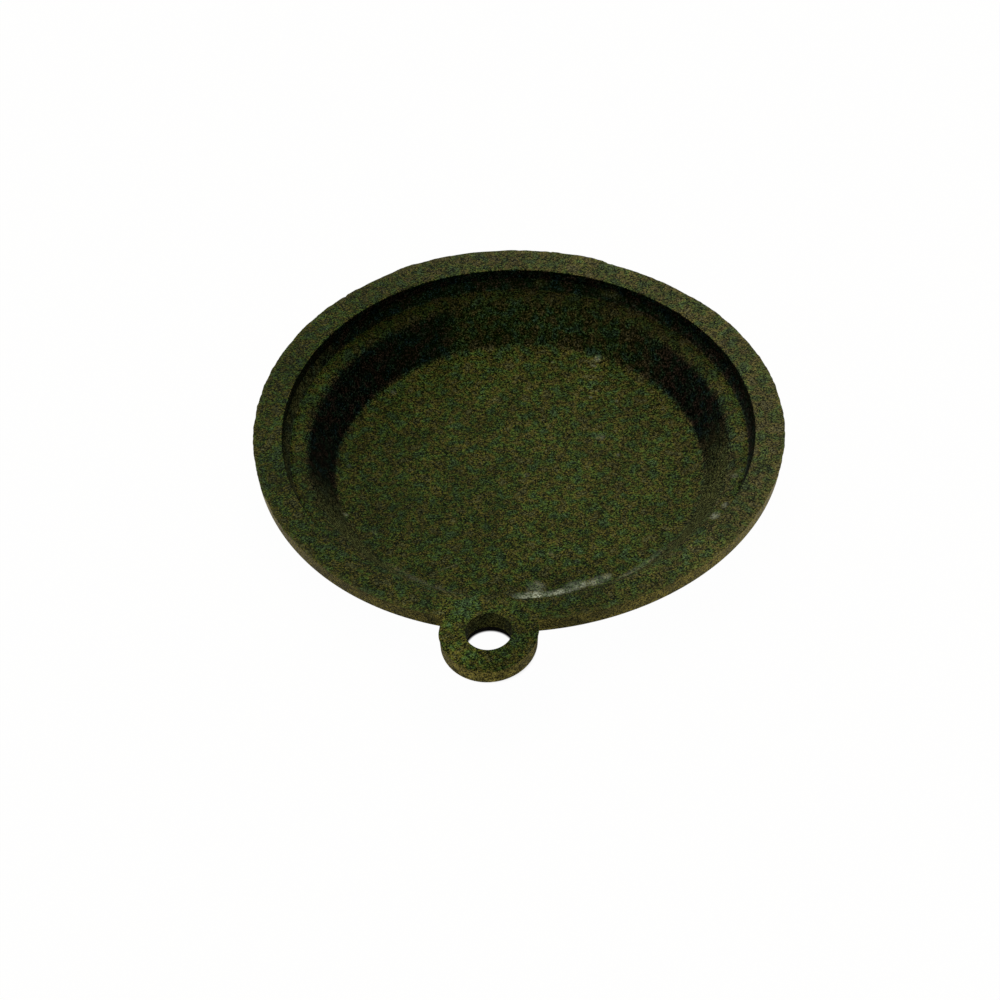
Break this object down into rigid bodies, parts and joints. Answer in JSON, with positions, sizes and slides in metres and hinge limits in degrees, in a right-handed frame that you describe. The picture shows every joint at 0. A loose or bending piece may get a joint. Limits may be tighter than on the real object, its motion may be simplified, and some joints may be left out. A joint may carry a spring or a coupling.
{
  "type": "three-way valve diaphragm",
  "caption": "Round moulded rubber diaphragm with a flat sealing flange, a shallow flat-floored dish and a side tab with a port hole.",
  "frame": {"origin": "centre of the dish floor's underside, the flat face that the part rests on", "axes": "+Z out of the dish's open side, square to the sealing ring; -Y from the centre towards the port tab; +X to the right, seen from the tab"},
  "size_m": [0.058, 0.0646, 0.008],
  "materials": {
    "black_rubber": "dull moulded black rubber with an olive cast and a little pale talc"
  },
  "bodies": {
    "root": {"diaphragm": "black_rubber"}
  },
  "joints": []
}
